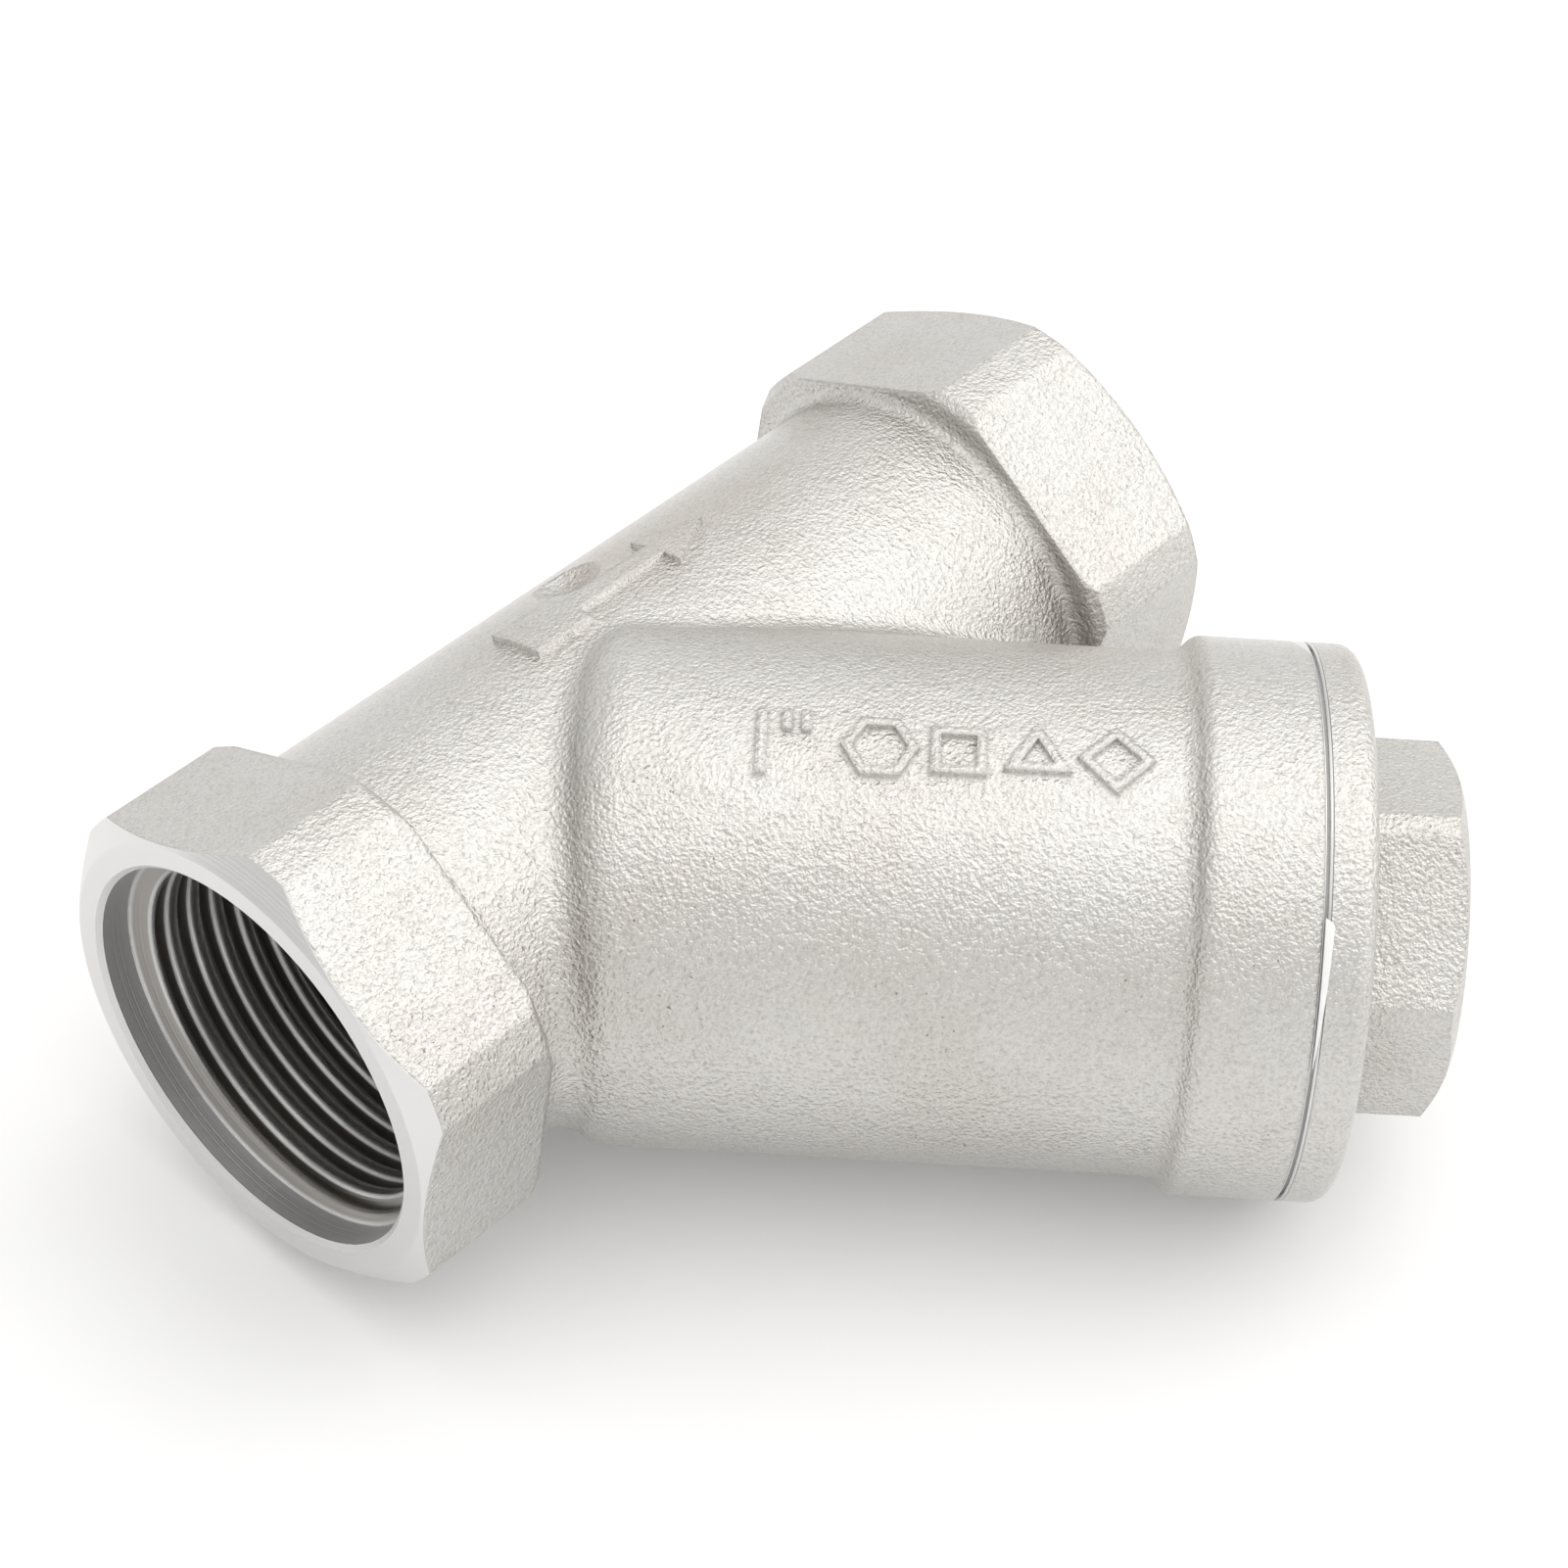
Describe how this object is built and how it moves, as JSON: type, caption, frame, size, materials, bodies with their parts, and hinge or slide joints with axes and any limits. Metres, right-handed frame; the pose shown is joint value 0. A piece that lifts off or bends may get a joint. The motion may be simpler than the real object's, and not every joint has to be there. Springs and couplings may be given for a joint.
{
  "type": "y strainer",
  "caption": "Screwed Y strainer: cast body with hexagon threaded ends, angled barrel with a screwed hexagon cap, and a removable perforated screen inside.",
  "frame": {"origin": "centre of the inlet end face, on the axis of the run", "axes": "+X along the run in the direction of flow, the branch leaves towards -Y, +Z square to the plane of the Y"},
  "size_m": [0.0928, 0.0864, 0.045],
  "materials": {
    "cast_stainless": "bead-blasted investment casting, satin",
    "white_ptfe": "matte white fluoropolymer",
    "rolled_stainless": "mill-finished sheet",
    "woven_stainless": "woven wire"
  },
  "bodies": {
    "casting": {"strainer_body": "cast_stainless"},
    "screen_pack": {"screen_tube": "rolled_stainless", "screen_liner": "woven_stainless", "screen_upper_band": "rolled_stainless", "screen_lower_band": "rolled_stainless", "cap_gasket": "white_ptfe"},
    "cap": {"screen_cap": "cast_stainless"}
  },
  "joints": [
    {"name": "cap_travel", "type": "slide", "parent": "casting", "child": "screen_pack", "axis": [0.6428, -0.766, 0], "range_m": [0, 0.0092]},
    {"name": "cap_turn", "type": "hinge", "parent": "screen_pack", "child": "cap", "pos_m": [0.0281, 0, 0], "axis": [0.6428, -0.766, 0], "range_deg": [0, 1620]}
  ],
  "couplings": [
    {"joint": "cap_travel", "follows": "cap_turn", "m_per_rad": 0.00031831}
  ]
}
